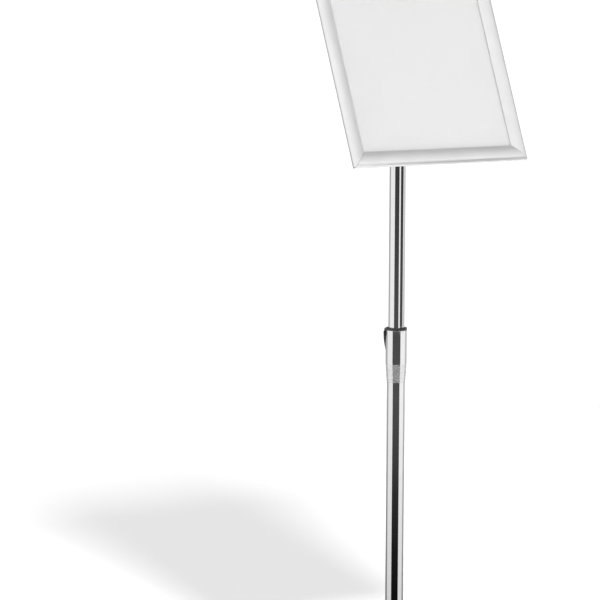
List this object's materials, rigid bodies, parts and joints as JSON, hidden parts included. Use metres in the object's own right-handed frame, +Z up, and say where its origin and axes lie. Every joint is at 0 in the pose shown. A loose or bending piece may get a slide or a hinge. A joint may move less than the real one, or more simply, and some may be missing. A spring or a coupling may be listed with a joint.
{
  "type": "sign stand",
  "caption": "Floor-standing sign holder: a snap frame for a sheet that tilts and turns on a telescopic chrome pole with a cam-lever clamp and a weighted square base.",
  "frame": {"origin": "on the floor, on the pole's centre line, under the middle of the base", "axes": "+Z up along the pole; the sign faces -Y and leans back towards +Y; +X is to the right of someone reading the sign"},
  "size_m": [0.327, 0.29, 1.3068],
  "materials": {
    "chrome_steel": "polished chrome plate",
    "silver_paint": "satin silver powder coat",
    "weight_steel": "plain rolled steel",
    "rubber": "matt moulded",
    "zinc_steel": "bright zinc plate",
    "spring_steel": "bright spring strip",
    "black_plastic": "fine moulded texture",
    "white_plastic": "plain moulded",
    "brake_rubber": "matt",
    "head_casting": "dark powder-coated die casting",
    "brass": "plain turned",
    "back_plastic": "fine grained sheet",
    "anodised_rail": "satin anodised extrusion",
    "anodised_lid": "satin anodised extrusion",
    "poster_paper": "plain white card",
    "clear_cover": "clear anti-glare film"
  },
  "bodies": {
    "base": {"base_weight": "weight_steel", "base_cover": "silver_paint", "rubber_feet": "rubber", "foot_screws": "zinc_steel", "base_bolt": "zinc_steel", "base_washer": "zinc_steel", "spring_washer": "zinc_steel", "tube_foot_plug": "weight_steel", "base_rosette": "chrome_steel", "lower_tube": "chrome_steel", "clamp_sleeve": "chrome_steel", "guide_bush": "white_plastic", "collar_cap": "black_plastic", "lever_pin": "zinc_steel"},
    "lever": {"clamp_lever": "black_plastic"},
    "shoe": {"brake_shoe": "zinc_steel", "brake_pad": "brake_rubber"},
    "guide_plug": {"lower_guide_plug": "white_plastic"},
    "mast": {"upper_tube": "chrome_steel", "mast_head": "head_casting", "head_cross_pin": "zinc_steel"},
    "tilt_head": {"tilt_yoke": "head_casting", "tilt_bolt": "zinc_steel", "friction_washers": "white_plastic", "knob_washer": "zinc_steel", "turn_stop_pin": "zinc_steel", "turn_friction_washer": "white_plastic", "turn_screw": "zinc_steel", "turn_washer": "zinc_steel"},
    "knob": {"tilt_knob": "black_plastic", "knob_insert": "brass"},
    "sign_frame": {"turn_plate": "head_casting", "plate_rivets": "zinc_steel", "back_panel": "back_plastic", "base_rail_bottom": "anodised_rail", "base_rail_top": "anodised_rail", "base_rail_left": "anodised_rail", "base_rail_right": "anodised_rail", "corner_brackets": "zinc_steel", "snap_springs": "spring_steel", "poster_sheet": "poster_paper", "cover_sheet": "clear_cover"},
    "bottom_lid": {"lid_bottom": "anodised_lid"},
    "top_lid": {"lid_top": "anodised_lid"},
    "left_lid": {"lid_left": "anodised_lid"},
    "right_lid": {"lid_right": "anodised_lid"}
  },
  "joints": [
    {"name": "height_slide", "type": "slide", "parent": "base", "child": "guide_plug", "axis": [0, 0, 1], "range_m": [-0.38, 0.03]},
    {"name": "mast_swivel", "type": "hinge", "parent": "guide_plug", "child": "mast", "pos_m": [0, 0, 0.63], "axis": [0, 0, 1], "continuous": true},
    {"name": "frame_tilt", "type": "hinge", "parent": "mast", "child": "tilt_head", "pos_m": [0, 0, 1.086], "axis": [-1, 0, 0], "range_deg": [-22, 68]},
    {"name": "knob_turn", "type": "hinge", "parent": "tilt_head", "child": "knob", "pos_m": [0, 0, 1.086], "axis": [1, 0, 0], "range_deg": [0, 540]},
    {"name": "format_turn", "type": "hinge", "parent": "tilt_head", "child": "sign_frame", "pos_m": [0, 0, 1.086], "axis": [0, -0.9272, 0.3746], "range_deg": [0, 90]},
    {"name": "bottom_lid_hinge", "type": "hinge", "parent": "sign_frame", "child": "bottom_lid", "pos_m": [0, -0.11116, 0.89148], "axis": [1, 0, 0], "range_deg": [0, 90]},
    {"name": "top_lid_hinge", "type": "hinge", "parent": "sign_frame", "child": "top_lid", "pos_m": [0, 0.05516, 1.30315], "axis": [-1, 0, 0], "range_deg": [0, 90]},
    {"name": "left_lid_hinge", "type": "hinge", "parent": "sign_frame", "child": "left_lid", "pos_m": [-0.1605, -0.028, 1.09731], "axis": [0, -0.3746, -0.9272], "range_deg": [0, 90]},
    {"name": "right_lid_hinge", "type": "hinge", "parent": "sign_frame", "child": "right_lid", "pos_m": [0.1605, -0.028, 1.09731], "axis": [0, 0.3746, 0.9272], "range_deg": [0, 90]},
    {"name": "lever_pivot", "type": "hinge", "parent": "base", "child": "lever", "pos_m": [0, 0.0186, 0.6254], "axis": [1, 0, 0], "range_deg": [0, 55]},
    {"name": "shoe_release", "type": "slide", "parent": "base", "child": "shoe", "axis": [0, 1, 0], "range_m": [0, 0.00061]}
  ],
  "couplings": [
    {"joint": "shoe_release", "follows": "lever_pivot", "m_per_rad": 0.00062504}
  ]
}
